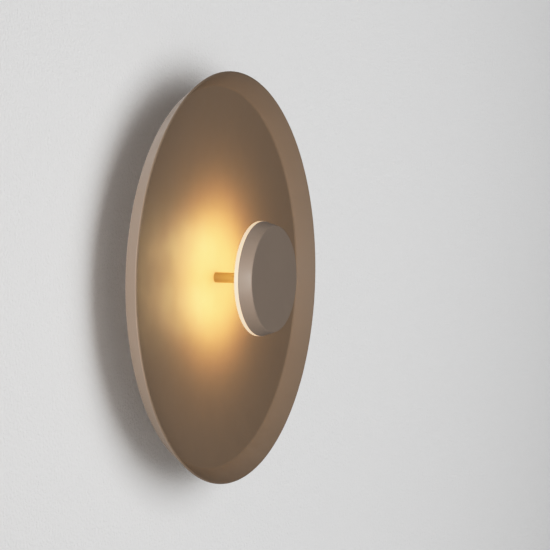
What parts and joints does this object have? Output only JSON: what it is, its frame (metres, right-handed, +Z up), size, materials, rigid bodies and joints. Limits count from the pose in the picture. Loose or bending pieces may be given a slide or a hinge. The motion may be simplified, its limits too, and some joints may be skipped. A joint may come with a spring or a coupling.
{
  "type": "wall light",
  "caption": "Disc wall light: a shallow flared metal dish standing off the wall, and a small thick light head on a thin stem in front of it that shines back on the dish.",
  "frame": {"origin": "centre of the wall plate's back face, on the wall and on the light's axis", "axes": "+Z up the wall, +X to the right of a person facing the wall, the light reaches out from the wall along -Y"},
  "size_m": [0.3996, 0.0911, 0.3996],
  "materials": {
    "powder_coat": "matte greige powder coat",
    "zinc_steel": "zinc plated",
    "black_steel": "black oxide",
    "brass": "plain",
    "tinned_copper": "tinned",
    "aluminium": "turned",
    "opal_acrylic": "opal, lit warm white",
    "white_plastic": "moulded",
    "white_nylon": "moulded nylon",
    "black_rubber": "matte",
    "board_green": "solder mask",
    "board_white": "white solder mask",
    "led_phosphor": "phosphor",
    "ferrite": "ferrite and tape",
    "black_sleeve": "shrink sleeve",
    "thermal_grey": "silicone pad",
    "lead_brown": "PVC insulation",
    "lead_blue": "PVC insulation",
    "lead_green": "green and yellow PVC insulation",
    "lead_white": "FEP insulation"
  },
  "bodies": {
    "wall_plate": {"wall_plate": "zinc_steel", "wall_earth_screw": "brass", "wall_earth_washer": "zinc_steel", "cable_grommet": "black_rubber"},
    "fixture": {"canopy": "powder_coat", "grub_screw_bosses": "zinc_steel", "canopy_grub_screws": "black_steel", "dish": "powder_coat", "dish_studs": "zinc_steel", "dish_stud_nuts": "zinc_steel", "chassis_plate": "zinc_steel", "stem": "powder_coat", "stem_nut": "zinc_steel", "stem_lock_washer": "zinc_steel", "stem_bush": "white_nylon", "driver_base": "white_plastic", "driver_cover": "white_plastic", "driver_board": "board_green", "driver_transformer": "ferrite", "driver_capacitors": "black_sleeve", "driver_screws": "zinc_steel", "terminal_block": "white_nylon", "terminal_tubes": "brass", "terminal_screws": "zinc_steel", "terminal_block_screws": "zinc_steel", "earth_lug": "tinned_copper", "earth_star_washer": "zinc_steel", "chassis_earth_screw": "brass", "live_lead": "lead_brown", "neutral_lead": "lead_blue", "earth_lead": "lead_green", "led_leads": "lead_white", "head_cap": "powder_coat", "heat_spreader": "aluminium", "spreader_screws": "zinc_steel", "thermal_pad": "thermal_grey", "led_board": "board_white", "led_chips": "led_phosphor", "board_connector": "white_nylon", "board_screws": "zinc_steel"},
    "diffuser": {"diffuser": "opal_acrylic"}
  },
  "joints": [
    {"name": "fixture_off_wall", "type": "slide", "parent": "wall_plate", "child": "fixture", "axis": [0, -1, 0], "range_m": [0, 0.04]},
    {"name": "diffuser_off_cap", "type": "slide", "parent": "fixture", "child": "diffuser", "axis": [0, 1, 0], "range_m": [0, 0.03]}
  ]
}
